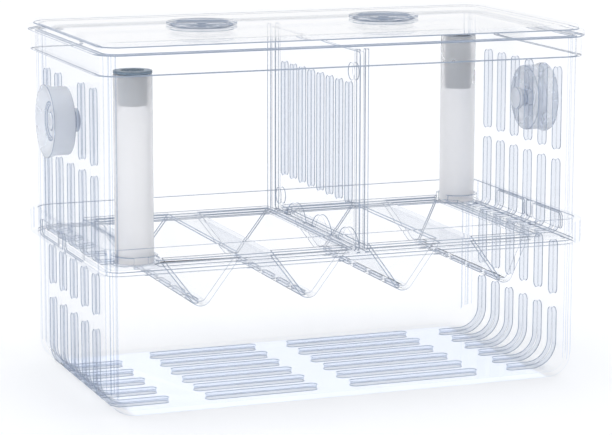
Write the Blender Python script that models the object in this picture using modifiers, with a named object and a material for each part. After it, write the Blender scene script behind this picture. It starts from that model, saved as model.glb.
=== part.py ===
"""Two-storey fish breeding box: tray below, box with V troughs above, lid, floats and suction cups.

Metres, +Z up. The origin is under the middle of the base, X runs along the length of the
box and the front wall faces -Y. Every lift runs straight up, in the order of assembly.
"""

import bpy
import bmesh
from math import copysign, cos, hypot, isclose, pi, radians
from mathutils import Matrix

# Running clearance between pieces that touch, and how far a cutter overruns a face
FIT = 0.0003
OVERRUN = 0.001
TOUCH = 0.00001

# Both boxes share one outline
BOX_LENGTH = 0.196
BOX_DEPTH = 0.104
WALL = 0.002
CORNER_RADIUS = 0.007

# Lower box, with the collar that the upper box stands in
SHELF_HEIGHT = 0.0561
LOWER_FLOOR = 0.002
LOWER_FOOT_RADIUS = 0.011
LOWER_SOLE_RADIUS = 0.003
COLLAR_WALL = 0.0031
COLLAR_SHELF = 0.001
COLLAR_RISE = 0.0091
COLLAR_EDGE = 0.0006
RECESS_LENGTH = 0.027
RECESS_FROM_MIDDLE = 0.004
RECESS_MARGIN = 0.0018
RECESS_DEPTH = 0.0009
RECESS_CORNER = 0.002
GRIP_WIDTH = 0.005
GRIP_PROUD = 0.0008

# Water slots of the lower box
LOWER_SLOT_WIDTH = 0.004
LOWER_SLOT_BRIDGE = 0.006
LOWER_SLOT_BELOW_SHELF = 0.0034
LOWER_LEFT_SLOTS = 5
LOWER_LEFT_PITCH = 0.0155
LOWER_LEFT_SHIFT = -0.002
LOWER_LEFT_SLOT_FOOT = 0.031
LOWER_LEFT_REACH = 0.0295
LOWER_RIGHT_SLOTS = 6
LOWER_RIGHT_PITCH = 0.0136
LOWER_RIGHT_SHIFT = 0.002
LOWER_RIGHT_SLOT_FOOT = 0.0247
LOWER_RIGHT_REACH = 0.021
FLOOR_SLOTS = 6
FLOOR_SLOT_PITCH = 0.0144
FLOOR_SLOT_SHIFT = 0.002
FLOOR_SLOT_WIDTH = 0.0046
FLOOR_SLOT_NEAR = 0.0072
FLOOR_SLOT_GAP = 0.015

# Upper box
UPPER_HEIGHT = 0.0813
UPPER_FLOOR = 0.0012
UPPER_FOOT_RADIUS = 0.0035
UPPER_SLOT_WIDTH = 0.004
UPPER_SLOT_BRIDGE = 0.0042
UPPER_SLOT_BELOW_RIM = 0.014
UPPER_SLOT_REACH = 0.010
UPPER_LEFT_SLOTS = 5
UPPER_LEFT_PITCH = 0.0165
UPPER_LEFT_SPLIT_BELOW_RIM = 0.0475
UPPER_RIGHT_SLOTS = 6
UPPER_RIGHT_PITCH = 0.0131
UPPER_RIGHT_SPLIT_BELOW_RIM = 0.0515
DIVIDER_X = 0.0053
BAR_WIDTH = 0.007
LEDGE_DEPTH = 0.004
LEFT_LAND = 0.0203
RIGHT_LAND = 0.016
WELL_RADIUS = 0.001
RAIL_RIB = 0.001
RAIL_PROUD = 0.003
RAIL_BELOW_RIM = 0.0015

# Divider
DIVIDER_THICKNESS = 0.002
DIVIDER_BELOW_RIM = 0.0025
DIVIDER_CORNER = 0.002
DIVIDER_SLOTS = 8
DIVIDER_SLOT_PITCH = 0.0102
DIVIDER_SLOT_WIDTH = 0.0034
DIVIDER_SLOT_ABOVE_FOOT = 0.0166
DIVIDER_SLOT_BELOW_TOP = 0.0132
DIVIDER_HOLE_RADIUS = 0.0033
DIVIDER_HOLE_FROM_END = 0.0095
DIVIDER_HOLE_BELOW_TOP = 0.0085
DIVIDER_HOLE_ABOVE_FOOT = 0.007
ARCHES = 3
ARCH_PITCH = 0.029
ARCH_SHIFT = -0.007
ARCH_WIDTH = 0.018
ARCH_HEIGHT = 0.0065

# V trays: a flat rim with two troughs, each slotted along its bottom
TRAY_WALL = 0.0015
TRAY_LAP = 0.0035
TRAY_SIDE_GAP = 0.0015
TRAY_CORNER = 0.002
LEFT_TROUGH_LAND = 0.0115
RIGHT_TROUGH_LAND = 0.013
LEFT_END_SHARE = 0.25
RIGHT_END_SHARE = 0.184
TROUGH_DROP = 0.0183
TROUGH_BOTTOM = 0.0044
TROUGH_ROUND = 0.0019
TROUGH_GAP = 0.0006
TROUGH_SLOTS = 5
TROUGH_SLOT_PITCH = 0.0168
TROUGH_SLOT_LENGTH = 0.012
TROUGH_SLOT_WIDTH = 0.0018

# Float tubes, their seats and their plugs
TUBE_RADIUS = 0.0074
TUBE_WALL = 0.0015
TUBE_BELOW_RIM = 0.0082
TUBE_EDGE = 0.001
TUBE_LEFT_GAP = 0.0045
TUBE_RIGHT_GAP = 0.0019
TUBE_SIDE_GAP = 0.0011
SEAT_WALL = 0.0012
SEAT_HEIGHT = 0.0035
PLUG_WALL = 0.0012
PLUG_FLANGE = 0.0012
PLUG_BASE = 0.0014
PLUG_LEFT_LENGTH = 0.012
PLUG_RIGHT_LENGTH = 0.023

# Lid
LID_WALL = 0.0019
LID_RIM_PROUD = 0.001
LID_RIM_THICKNESS = 0.0027
LID_SKIRT = 0.008
LID_PANEL_INSET = 0.0024
LID_PANEL_RISE = 0.0018
LID_EDGE = 0.001

# Feed caps in the lid
CAP_X = 0.0387
CAP_SHIFT = -0.0042
CAP_FLANGE_RADIUS = 0.014
CAP_BODY_RADIUS = 0.012
CAP_FLANGE = 0.001
CAP_WALL = 0.0012
CAP_DEPTH = 0.0008
CAP_HOLE_RADIUS = 0.002

# Suction cups, turned about X
CUP_BELOW_RIM = 0.0305
CUP_RADIUS = 0.0134
CUP_LIP_RADIUS = 0.0144
CUP_LENGTH = 0.0088
CUP_LIP_WIDTH = 0.0018
CUP_DISH_DEPTH = 0.0036
CUP_BACK_DEPTH = 0.0027
CUP_NUB_RADIUS = 0.0042
CUP_NUB_HEIGHT = 0.0014
CUP_STEM_RADIUS = 0.0032
CUP_HEAD_RADIUS = 0.0046
CUP_HEAD = 0.0016
CUP_EDGE = 0.0006

# Counts of facets
ROUND_STEPS = 32
SLOT_SIDES = 12
CORNER_STEPS = 5
FOOT_STEPS = 6
EDGE_STEPS = 3

# Places that follow from the sizes above
HALF_LENGTH = BOX_LENGTH / 2
HALF_DEPTH = BOX_DEPTH / 2
INNER_X = HALF_LENGTH - WALL
INNER_Y = HALF_DEPTH - WALL
COLLAR_LOW = SHELF_HEIGHT - COLLAR_SHELF
COLLAR_TOP = SHELF_HEIGHT + COLLAR_RISE
COLLAR_OUT = FIT + COLLAR_WALL
UPPER_BASE = SHELF_HEIGHT + FIT
UPPER_FLOOR_TOP = UPPER_BASE + UPPER_FLOOR
UPPER_TOP = UPPER_BASE + UPPER_HEIGHT
UPPER_SLOT_TOP = UPPER_TOP - UPPER_SLOT_BELOW_RIM
SEAT_LEVEL = UPPER_FLOOR_TOP + FIT
RAIL_GAP = DIVIDER_THICKNESS / 2 + FIT
RAIL_OUTER = RAIL_GAP + RAIL_RIB
WELL_NEAR = BAR_WIDTH / 2
WELL_FAR = {-1: INNER_X + DIVIDER_X - LEFT_LAND, 1: INNER_X - DIVIDER_X - RIGHT_LAND}
WELL_HALF_DEPTH = INNER_Y - LEDGE_DEPTH
TRAY_NEAR = RAIL_OUTER + FIT
TROUGH_LAND = {-1: LEFT_TROUGH_LAND, 1: RIGHT_TROUGH_LAND}
END_SHARE = {-1: LEFT_END_SHARE, 1: RIGHT_END_SHARE}
TROUGH_HALF_DEPTH = WELL_HALF_DEPTH - TROUGH_GAP
TUBE_X = {-1: TUBE_LEFT_GAP + TUBE_RADIUS - INNER_X, 1: INNER_X - TUBE_RIGHT_GAP - TUBE_RADIUS}
TUBE_Y = INNER_Y - TUBE_SIDE_GAP - TUBE_RADIUS
TUBE_TOP = UPPER_TOP - TUBE_BELOW_RIM
SEAT_INNER = TUBE_RADIUS + FIT
SEAT_OUTER = SEAT_INNER + SEAT_WALL
SEAT_TOP = UPPER_FLOOR_TOP + SEAT_HEIGHT
LID_BASE = UPPER_TOP + FIT
LID_RIM_TOP = LID_BASE + LID_RIM_THICKNESS
LID_TOP = LID_RIM_TOP + LID_PANEL_RISE
LID_OUT = FIT + LID_WALL + LID_RIM_PROUD
CUP_Z = UPPER_TOP - CUP_BELOW_RIM

UPRIGHT = Matrix.Rotation(radians(90), 3, "Y")
SIDEWAYS = Matrix.Rotation(radians(90), 3, "Z")


# Scene and collections
for old in list(bpy.data.objects):
    bpy.data.objects.remove(old, do_unlink=True)

parts = bpy.data.collections.new("fish_breeding_box")
cutters = bpy.data.collections.new("cutters")
bpy.context.scene.collection.children.link(parts)
bpy.context.scene.collection.children.link(cutters)


def material(name, colour, roughness, alpha):
    """A Principled BSDF with the piece's colour, roughness and see-through share."""
    made = bpy.data.materials.new(name)
    made.use_nodes = True
    shader = made.node_tree.nodes["Principled BSDF"]
    shader.inputs["Base Color"].default_value = (*colour, 1.0)
    shader.inputs["Roughness"].default_value = roughness
    shader.inputs["Metallic"].default_value = 0.0
    shader.inputs["Alpha"].default_value = alpha
    made.diffuse_color = (*colour, alpha)
    return made


def add_piece(name, mesh, finish, at=(0, 0, 0)):
    """A named part with its own material, placed by its origin."""
    piece = bpy.data.objects.new(name, mesh)
    piece.location = at
    parts.objects.link(piece)
    mesh.materials.append(material(name, **finish))
    return piece


def add_cutter(name, mesh, at=(0, 0, 0), turn=(0, 0, 0)):
    """A guide for a Boolean, drawn as wire and left out of renders."""
    guide = bpy.data.objects.new(name, mesh)
    guide.location = at
    guide.rotation_euler = turn
    guide.hide_render = True
    guide.display_type = "WIRE"
    cutters.objects.link(guide)
    return guide


def combine(piece, guide, operation="DIFFERENCE"):
    """Cuts the guide from the piece, or joins it to the piece."""
    boolean = piece.modifiers.new(guide.name, "BOOLEAN")
    boolean.operation = operation
    boolean.solver = "EXACT"
    boolean.object = guide


def to_mesh(name, bm):
    """Turns the finished bmesh into a mesh with its faces pointing out."""
    bmesh.ops.recalc_face_normals(bm, faces=bm.faces)
    mesh = bpy.data.meshes.new(name)
    bm.to_mesh(mesh)
    bm.free()
    return mesh


def round_edges(bm, chosen, radius, steps):
    """Bevels the chosen edges into an arc."""
    bmesh.ops.bevel(bm, geom=chosen, offset=radius, offset_type="OFFSET", segments=steps,
                    profile=0.5, affect="EDGES")


def level_edges(bm, level):
    """The edges that lie at one height."""
    return [edge for edge in bm.edges
            if all(isclose(v.co.z, level, abs_tol=TOUCH) for v in edge.verts)]


def block_into(bm, half_x, half_y, low, high, at=(0, 0)):
    """Adds a box between two heights and returns its vertices."""
    made = bmesh.ops.create_cube(bm, size=1.0)["verts"]
    bmesh.ops.scale(bm, vec=(2 * half_x, 2 * half_y, high - low), verts=made)
    bmesh.ops.translate(bm, vec=(at[0], at[1], (high + low) / 2), verts=made)
    return made


def rounded_block(name, half_x, half_y, low, high, side=0.0, foot=0.0, top=0.0):
    """A box about Z with rounded upright, lower and upper edges."""
    bm = bmesh.new()
    block_into(bm, half_x, half_y, low, high)
    if side:
        upright = [edge for edge in bm.edges
                   if not isclose(edge.verts[0].co.z, edge.verts[1].co.z, abs_tol=TOUCH)]
        round_edges(bm, upright, side, CORNER_STEPS)
    if foot:
        round_edges(bm, level_edges(bm, low), foot, EDGE_STEPS)
    if top:
        round_edges(bm, level_edges(bm, high), top, EDGE_STEPS)
    return to_mesh(name, bm)


def tray_mould(name, half_x, half_y, low, high, side, foot, sole):
    """A box whose floor turns up in a wide arc at its ends and in a tight one along its length.

    The edges that still have to be rounded carry a weight, as a share of the side radius.
    """
    bm = bmesh.new()
    block_into(bm, half_x, half_y, low, high)
    across = [edge for edge in level_edges(bm, low)
              if isclose(edge.verts[0].co.x, edge.verts[1].co.x, abs_tol=TOUCH)]
    round_edges(bm, across, foot, FOOT_STEPS)
    weight = bm.edges.layers.float.new("bevel_weight_edge")
    topmost = level_edges(bm, high)
    for edge in bm.edges:
        a, b = (v.co for v in edge.verts)
        if isclose(a.y, b.y, abs_tol=TOUCH) and edge not in topmost:
            rise = min(((a.z + b.z) / 2 - low) / foot, 1)
            edge[weight] = (sole + (side - sole) * rise) / side
    return to_mesh(name, bm)


def round_weighted(piece, radius):
    """Bevels the edges that carry a weight, each by its share of the radius."""
    bevel = piece.modifiers.new("rounded", "BEVEL")
    bevel.limit_method = "WEIGHT"
    bevel.offset_type = "OFFSET"
    bevel.width = radius
    bevel.segments = CORNER_STEPS
    bevel.profile = 0.5
    return piece


def drum_into(bm, radius, depth, centre, turn=None):
    """Adds a cylinder about Z before its turn."""
    made = bmesh.ops.create_cone(bm, cap_ends=True, segments=ROUND_STEPS, radius1=radius,
                                 radius2=radius, depth=depth)["verts"]
    if turn:
        bmesh.ops.rotate(bm, verts=made, cent=(0, 0, 0), matrix=turn)
    bmesh.ops.translate(bm, vec=centre, verts=made)


def drum(name, radius, depth, centre, turn=None):
    """A cylinder as a guide."""
    bm = bmesh.new()
    drum_into(bm, radius, depth, centre, turn)
    return add_cutter(name, to_mesh(name, bm))


def slot_into(bm, centre, width, length, through, turn=None):
    """Adds a round-ended slot, long in X and cut along Z before its turn."""
    half_side = pi / SLOT_SIDES
    radius = width / 2 / cos(half_side)
    made = bmesh.ops.create_cone(bm, cap_ends=True, segments=SLOT_SIDES, radius1=radius,
                                 radius2=radius, depth=through)["verts"]
    middle = (0, 0, 0)
    bmesh.ops.rotate(bm, verts=made, cent=middle, matrix=Matrix.Rotation(half_side, 3, "Z"))
    for v in made:
        v.co.x += copysign((length - width) / 2, v.co.x)
    if turn:
        bmesh.ops.rotate(bm, verts=made, cent=middle, matrix=turn)
    bmesh.ops.translate(bm, vec=centre, verts=made)


def spread(count, pitch, middle=0.0):
    """Evenly spaced places about a middle."""
    return [middle + (i - (count - 1) / 2) * pitch for i in range(count)]


def wall_slots(name, side, rows, width, low, high):
    """Upright slots through one short wall."""
    bm = bmesh.new()
    for y in rows:
        centre = (side * (INNER_X + HALF_LENGTH) / 2, y, (low + high) / 2)
        slot_into(bm, centre, width, high - low, WALL + 2 * OVERRUN, UPRIGHT)
    return add_cutter(name, to_mesh(name, bm))


def foot_slots(name, side, rows, width, base, split, reach, foot):
    """Slots that turn a short wall's foot: an upright run, and a run in the floor."""
    turn_top = base + foot + OVERRUN
    upright_low = turn_top - 2 * width
    upright = bmesh.new()
    floor = bmesh.new()
    near = HALF_LENGTH - reach
    far = HALF_LENGTH + 2 * width
    for y in rows:
        slot_into(upright, (side * (HALF_LENGTH - foot / 2), y, (upright_low + split) / 2),
                  width, split - upright_low, foot + 2 * OVERRUN, UPRIGHT)
        slot_into(floor, (side * (near + far) / 2, y, (base - OVERRUN + turn_top) / 2),
                  width + FIT / 2, far - near, turn_top - base + OVERRUN)
    return (add_cutter(name + "_floor", to_mesh(name + "_floor", floor)),
            add_cutter(name + "_upright", to_mesh(name + "_upright", upright)))


def turned(name, profile, closed=False):
    """A mesh of profile points, as (radius, height), for a Screw modifier."""
    bm = bmesh.new()
    points = [bm.verts.new((radius, 0, height)) for radius, height in profile]
    for a, b in zip(points, points[1:]):
        bm.edges.new((a, b))
    if closed:
        bm.edges.new((points[-1], points[0]))
    mesh = bpy.data.meshes.new(name)
    bm.to_mesh(mesh)
    bm.free()
    return mesh


def screw(piece):
    """Turns the piece's profile once about its own Z."""
    turn = piece.modifiers.new("turned", "SCREW")
    turn.axis = "Z"
    turn.angle = 2 * pi
    turn.steps = ROUND_STEPS
    turn.render_steps = ROUND_STEPS
    turn.use_merge_vertices = True
    turn.merge_threshold = TOUCH
    turn.use_smooth_shade = True


# Finishes
CLEAR = {"colour": (0.90, 0.93, 0.97), "roughness": 0.06, "alpha": 0.35}
FROSTED = {"colour": (0.88, 0.88, 0.94), "roughness": 0.45, "alpha": 0.9}
SMOKY = {"colour": (0.50, 0.54, 0.62), "roughness": 0.3, "alpha": 0.9}
MILKY = {"colour": (0.66, 0.72, 0.80), "roughness": 0.35, "alpha": 0.8}


# Lower box: a tray whose wall steps out into a collar for the upper box
lower_box = round_weighted(add_piece("lower_box", tray_mould(
    "lower_box", HALF_LENGTH, HALF_DEPTH, 0, SHELF_HEIGHT - COLLAR_SHELF / 2, CORNER_RADIUS,
    LOWER_FOOT_RADIUS, LOWER_SOLE_RADIUS), CLEAR), CORNER_RADIUS)
combine(lower_box, add_cutter("collar", rounded_block(
    "collar", HALF_LENGTH + COLLAR_OUT, HALF_DEPTH + COLLAR_OUT, COLLAR_LOW, COLLAR_TOP,
    side=CORNER_RADIUS + COLLAR_OUT, foot=COLLAR_EDGE, top=COLLAR_EDGE)), "UNION")
combine(lower_box, round_weighted(add_cutter("lower_cavity", tray_mould(
    "lower_cavity", INNER_X, INNER_Y, LOWER_FLOOR, COLLAR_TOP + 2 * OVERRUN, CORNER_RADIUS - WALL,
    LOWER_FOOT_RADIUS - WALL, LOWER_SOLE_RADIUS - WALL)), CORNER_RADIUS - WALL))
combine(lower_box, add_cutter("collar_pocket", rounded_block(
    "collar_pocket", HALF_LENGTH + FIT, HALF_DEPTH + FIT, SHELF_HEIGHT, COLLAR_TOP + OVERRUN,
    side=CORNER_RADIUS + FIT)))

# Thumb recesses either side of a grip bar, on the collar's short sides
collar_middle = (COLLAR_LOW + COLLAR_TOP) / 2
recess_half_height = (COLLAR_TOP - COLLAR_LOW) / 2 - RECESS_MARGIN
collar_face = HALF_LENGTH + COLLAR_OUT
for side, end in ((-1, "left"), (1, "right")):
    for along in (-1, 1):
        recess = rounded_block("recess", recess_half_height, RECESS_LENGTH / 2, 0,
                               RECESS_DEPTH + OVERRUN, side=RECESS_CORNER)
        place = (side * (collar_face - RECESS_DEPTH),
                 along * (RECESS_FROM_MIDDLE + RECESS_LENGTH / 2), collar_middle)
        combine(lower_box, add_cutter(f"recess_{end}_{along}", recess, place,
                                      (0, side * radians(90), 0)))
    bar = rounded_block("grip", recess_half_height, GRIP_WIDTH / 2, 0,
                        COLLAR_WALL / 2 + GRIP_PROUD, top=GRIP_PROUD / 2)
    place = (side * (collar_face - COLLAR_WALL / 2), 0, collar_middle)
    combine(lower_box, add_cutter(f"grip_{end}", bar, place, (0, side * radians(90), 0)), "UNION")

# Water slots of the lower box: five columns on the left, six on the right, two floor groups
lower_slot_high = SHELF_HEIGHT - LOWER_SLOT_BELOW_SHELF
floor_slots = bmesh.new()
for side, end, rows, split, reach in (
        (-1, "left", spread(LOWER_LEFT_SLOTS, LOWER_LEFT_PITCH, LOWER_LEFT_SHIFT),
         LOWER_LEFT_SLOT_FOOT, LOWER_LEFT_REACH),
        (1, "right", spread(LOWER_RIGHT_SLOTS, LOWER_RIGHT_PITCH, LOWER_RIGHT_SHIFT),
         LOWER_RIGHT_SLOT_FOOT, LOWER_RIGHT_REACH)):
    for guide in foot_slots(f"lower_foot_slots_{end}", side, rows, LOWER_SLOT_WIDTH, 0, split,
                            reach, LOWER_FOOT_RADIUS):
        combine(lower_box, guide)
    combine(lower_box, wall_slots(f"lower_slots_{end}", side, rows, LOWER_SLOT_WIDTH,
                                  split + LOWER_SLOT_BRIDGE, lower_slot_high))
    far = HALF_LENGTH - reach - FLOOR_SLOT_GAP
    for y in spread(FLOOR_SLOTS, FLOOR_SLOT_PITCH, FLOOR_SLOT_SHIFT):
        slot_into(floor_slots, (side * (FLOOR_SLOT_NEAR + far) / 2, y, LOWER_FLOOR / 2),
                  FLOOR_SLOT_WIDTH, far - FLOOR_SLOT_NEAR, LOWER_FLOOR + 2 * OVERRUN)
combine(lower_box, add_cutter("floor_slots", to_mesh("floor_slots", floor_slots)))


# Upper box: same outline, standing on the shelf inside the collar
upper_box = add_piece("upper_box", rounded_block(
    "upper_box", HALF_LENGTH, HALF_DEPTH, UPPER_BASE, UPPER_TOP,
    side=CORNER_RADIUS, foot=UPPER_FOOT_RADIUS), CLEAR)
combine(upper_box, add_cutter("upper_cavity", rounded_block(
    "upper_cavity", INNER_X, INNER_Y, UPPER_FLOOR_TOP, UPPER_TOP + OVERRUN,
    side=CORNER_RADIUS - WALL, foot=UPPER_FOOT_RADIUS - WALL)))

# Water slots of the upper box; a column that would meet the suction cup's stem stops below it
stem_hole = CUP_STEM_RADIUS + FIT
for side, end, rows, split in (
        (-1, "left", spread(UPPER_LEFT_SLOTS, UPPER_LEFT_PITCH),
         UPPER_TOP - UPPER_LEFT_SPLIT_BELOW_RIM),
        (1, "right", spread(UPPER_RIGHT_SLOTS, UPPER_RIGHT_PITCH),
         UPPER_TOP - UPPER_RIGHT_SPLIT_BELOW_RIM)):
    for guide in foot_slots(f"upper_foot_slots_{end}", side, rows, UPPER_SLOT_WIDTH, UPPER_BASE,
                            split, UPPER_SLOT_REACH, UPPER_FOOT_RADIUS):
        combine(upper_box, guide)
    beside_stem = [y for y in rows if abs(y) > stem_hole + UPPER_SLOT_WIDTH / 2]
    combine(upper_box, wall_slots(f"upper_slots_{end}", side, beside_stem, UPPER_SLOT_WIDTH,
                                  split + UPPER_SLOT_BRIDGE, UPPER_SLOT_TOP))
    combine(upper_box, drum(f"stem_hole_{end}", stem_hole, WALL + 2 * OVERRUN,
                            (side * (INNER_X + HALF_LENGTH) / 2, 0, CUP_Z), UPRIGHT))

# Rails that hold the divider, two ribs on each long wall
rails = bmesh.new()
for side_x in (-1, 1):
    for side_y in (-1, 1):
        low_y = INNER_Y - RAIL_PROUD
        high_y = INNER_Y + WALL / 2
        block_into(rails, RAIL_RIB / 2, (high_y - low_y) / 2, UPPER_BASE + UPPER_FLOOR / 2,
                   UPPER_TOP - RAIL_BELOW_RIM,
                   (DIVIDER_X + side_x * (RAIL_GAP + RAIL_RIB / 2), side_y * (low_y + high_y) / 2))
combine(upper_box, add_cutter("rails", to_mesh("rails", rails)), "UNION")

# Ring seats for the two float tubes, then the wells for the trays, which trim the right ring
for side in (-1, 1):
    low = UPPER_BASE + UPPER_FLOOR / 2
    ring = add_cutter(f"tube_seat_{side}", turned("tube_seat", (
        (SEAT_INNER, low), (SEAT_INNER, SEAT_TOP), (SEAT_OUTER, SEAT_TOP), (SEAT_OUTER, low)),
        closed=True), (TUBE_X[side], side * TUBE_Y, 0))
    screw(ring)
    combine(upper_box, ring, "UNION")
for side, far in WELL_FAR.items():
    well = rounded_block("tray_well", (far - WELL_NEAR) / 2, WELL_HALF_DEPTH,
                         UPPER_BASE - OVERRUN, SEAT_TOP + OVERRUN, side=WELL_RADIUS)
    combine(upper_box, add_cutter(f"tray_well_{side}", well,
                                  (DIVIDER_X + side * (WELL_NEAR + far) / 2, 0, 0)))


# Divider: a slotted panel with two holes and three arches, standing on the bar between the wells
divider_top = UPPER_TOP - DIVIDER_BELOW_RIM
panel = rounded_block("divider", (divider_top - SEAT_LEVEL) / 2, INNER_Y - FIT,
                      -DIVIDER_THICKNESS / 2, DIVIDER_THICKNESS / 2, side=DIVIDER_CORNER)
panel.transform(UPRIGHT.to_4x4())
divider = add_piece("divider", panel, CLEAR, (DIVIDER_X, 0, (divider_top + SEAT_LEVEL) / 2))
openings = bmesh.new()
slot_low = SEAT_LEVEL + DIVIDER_SLOT_ABOVE_FOOT
slot_high = divider_top - DIVIDER_SLOT_BELOW_TOP
through = DIVIDER_THICKNESS + 2 * OVERRUN
for y in spread(DIVIDER_SLOTS, DIVIDER_SLOT_PITCH):
    slot_into(openings, (DIVIDER_X, y, (slot_low + slot_high) / 2), DIVIDER_SLOT_WIDTH,
              slot_high - slot_low, through, UPRIGHT)
hole_y = INNER_Y - DIVIDER_HOLE_FROM_END
for y, z in ((-hole_y, divider_top - DIVIDER_HOLE_BELOW_TOP),
             (hole_y, SEAT_LEVEL + DIVIDER_HOLE_ABOVE_FOOT)):
    drum_into(openings, DIVIDER_HOLE_RADIUS, through, (DIVIDER_X, y, z), UPRIGHT)
arch_radius = ((ARCH_WIDTH / 2) ** 2 + ARCH_HEIGHT ** 2) / (2 * ARCH_HEIGHT)
for y in spread(ARCHES, ARCH_PITCH, ARCH_SHIFT):
    drum_into(openings, arch_radius, through,
              (DIVIDER_X, y, SEAT_LEVEL + ARCH_HEIGHT - arch_radius), UPRIGHT)
combine(divider, add_cutter("divider_openings", to_mesh("divider_openings", openings)))


def trough_into(bm, middle, outward, inner_half, outer_half, inset=0.0):
    """Adds a V body whose sides keep their slope; an inset gives the space inside the wall."""
    low = SEAT_LEVEL - TROUGH_DROP
    floor = low + inset
    high = SEAT_LEVEL + (TRAY_WALL + OVERRUN if inset else TRAY_WALL / 2)
    made = block_into(bm, 1, TROUGH_HALF_DEPTH - inset, floor, high)
    for v in made:
        outer = v.co.x * outward > 0
        slope = ((outer_half if outer else inner_half) - TROUGH_BOTTOM / 2) / TROUGH_DROP
        reach = TROUGH_BOTTOM / 2 + (v.co.z - low) * slope - inset * hypot(1, slope)
        v.co.x = middle + copysign(reach, v.co.x)
    bottom = [edge for edge in level_edges(bm, floor) if edge.verts[0] in made
              and isclose(edge.verts[0].co.x, edge.verts[1].co.x, abs_tol=TOUCH)]
    if not inset:
        round_edges(bm, bottom, TROUGH_ROUND, EDGE_STEPS)


# V trays: rims laid on the ledge and the bar, troughs hanging through the wells
for side, end in ((-1, "left"), (1, "right")):
    tray_far = WELL_FAR[side] + TRAY_LAP
    middle = DIVIDER_X + side * (TRAY_NEAR + tray_far) / 2
    tray = add_piece(f"v_tray_{end}", rounded_block(
        f"v_tray_{end}", (tray_far - TRAY_NEAR) / 2, INNER_Y - TRAY_SIDE_GAP, SEAT_LEVEL,
        SEAT_LEVEL + TRAY_WALL, side=TRAY_CORNER), CLEAR, (middle, 0, 0))
    space = WELL_FAR[side] - WELL_NEAR - 2 * TROUGH_GAP - TROUGH_LAND[side]
    end_half = space * END_SHARE[side]
    half = (space - end_half) / 3
    outside = bmesh.new()
    inside = bmesh.new()
    slots = bmesh.new()
    for place, outer_half in ((WELL_NEAR + TROUGH_GAP + half, half),
                              (WELL_FAR[side] - TROUGH_GAP - end_half, end_half)):
        x = DIVIDER_X + side * place
        trough_into(outside, x, side, half, outer_half)
        trough_into(inside, x, side, half, outer_half, TRAY_WALL)
        for y in spread(TROUGH_SLOTS, TROUGH_SLOT_PITCH):
            slot_into(slots, (x, y, SEAT_LEVEL - TROUGH_DROP + TRAY_WALL / 2), TROUGH_SLOT_WIDTH,
                      TROUGH_SLOT_LENGTH, TRAY_WALL + 2 * OVERRUN, SIDEWAYS)
    combine(tray, add_cutter(f"troughs_{end}", to_mesh(f"troughs_{end}", outside)), "UNION")
    combine(tray, add_cutter(f"trough_spaces_{end}", to_mesh(f"trough_spaces_{end}", inside)))
    combine(tray, add_cutter(f"trough_slots_{end}", to_mesh(f"trough_slots_{end}", slots)))
    notch_top = SEAT_LEVEL + TRAY_WALL + OVERRUN
    combine(tray, drum(f"tray_notch_{end}", SEAT_OUTER + FIT, notch_top - UPPER_FLOOR_TOP,
                       (TUBE_X[side], side * TUBE_Y, (notch_top + UPPER_FLOOR_TOP) / 2)))


# Float tubes, each closed below and stopped by a hollow plug above
for side, end, length in ((-1, "front_left", PLUG_LEFT_LENGTH),
                          (1, "back_right", PLUG_RIGHT_LENGTH)):
    place = (TUBE_X[side], side * TUBE_Y, 0)
    bore = TUBE_RADIUS - TUBE_WALL
    tube = add_piece(f"float_tube_{end}", turned(f"float_tube_{end}", (
        (0, SEAT_LEVEL + TUBE_WALL), (bore, SEAT_LEVEL + TUBE_WALL), (bore, TUBE_TOP),
        (TUBE_RADIUS, TUBE_TOP), (TUBE_RADIUS, SEAT_LEVEL + TUBE_EDGE),
        (TUBE_RADIUS - TUBE_EDGE, SEAT_LEVEL), (0, SEAT_LEVEL))), FROSTED, place)
    screw(tube)
    body = bore - FIT
    hollow = body - PLUG_WALL
    flange_low = TUBE_TOP + FIT
    flange_top = flange_low + PLUG_FLANGE
    plug_low = flange_low - length
    plug = add_piece(f"float_plug_{end}", turned(f"float_plug_{end}", (
        (0, plug_low + PLUG_BASE), (hollow, plug_low + PLUG_BASE), (hollow, flange_top),
        (TUBE_RADIUS - FIT, flange_top), (TUBE_RADIUS, flange_top - FIT),
        (TUBE_RADIUS, flange_low), (body, flange_low), (body, plug_low), (0, plug_low))),
        SMOKY, place)
    screw(plug)


# Lid: a rim plate with a skirt outside the box and a raised panel with two feed ports
lid = add_piece("lid", rounded_block(
    "lid", HALF_LENGTH + LID_OUT, HALF_DEPTH + LID_OUT, LID_BASE, LID_RIM_TOP,
    side=CORNER_RADIUS + LID_OUT, top=LID_EDGE), CLEAR)
skirt_out = FIT + LID_WALL
combine(lid, add_cutter("skirt", rounded_block(
    "skirt", HALF_LENGTH + skirt_out, HALF_DEPTH + skirt_out, LID_BASE - LID_SKIRT,
    LID_BASE + LID_RIM_THICKNESS / 2, side=CORNER_RADIUS + skirt_out)), "UNION")
panel_x = HALF_LENGTH + LID_OUT - LID_PANEL_INSET
panel_y = HALF_DEPTH + LID_OUT - LID_PANEL_INSET
panel_radius = CORNER_RADIUS + LID_OUT - LID_PANEL_INSET
combine(lid, add_cutter("panel", rounded_block(
    "panel", panel_x, panel_y, LID_BASE + LID_RIM_THICKNESS / 2, LID_TOP,
    side=panel_radius, top=LID_EDGE)), "UNION")
combine(lid, add_cutter("skirt_space", rounded_block(
    "skirt_space", HALF_LENGTH + FIT, HALF_DEPTH + FIT, LID_BASE - LID_SKIRT - OVERRUN, LID_BASE,
    side=CORNER_RADIUS + FIT)))
combine(lid, add_cutter("panel_space", rounded_block(
    "panel_space", panel_x - LID_WALL, panel_y - LID_WALL, LID_BASE - OVERRUN,
    LID_TOP - LID_WALL, side=panel_radius - LID_WALL)))

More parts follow.
